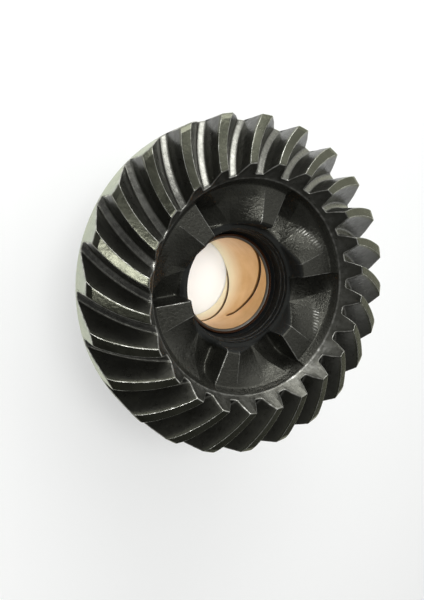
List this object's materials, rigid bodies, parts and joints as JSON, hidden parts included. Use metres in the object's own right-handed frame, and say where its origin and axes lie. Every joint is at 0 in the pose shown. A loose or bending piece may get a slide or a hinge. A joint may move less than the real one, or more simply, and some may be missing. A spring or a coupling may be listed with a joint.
{
  "type": "spiral bevel gear",
  "caption": "Spiral bevel gear with a recessed ring of dog-clutch lugs, a rear hub and a pressed-in grooved bronze bush for its shaft.",
  "frame": {"origin": "centre of the hub's rear face, on the gear's axis", "axes": "+Z along the gear's axis, from the hub towards the toothed and lugged side; +X and +Y across the gear"},
  "size_m": [0.0738, 0.0738, 0.0391],
  "materials": {
    "gear_steel": "dark oiled carburised steel, worn bright on edges and tooth roots",
    "bush_bronze": "satin machined bronze with dark oil grooves"
  },
  "bodies": {
    "root": {"gear": "gear_steel", "bronze_bush": "bush_bronze"}
  },
  "joints": []
}
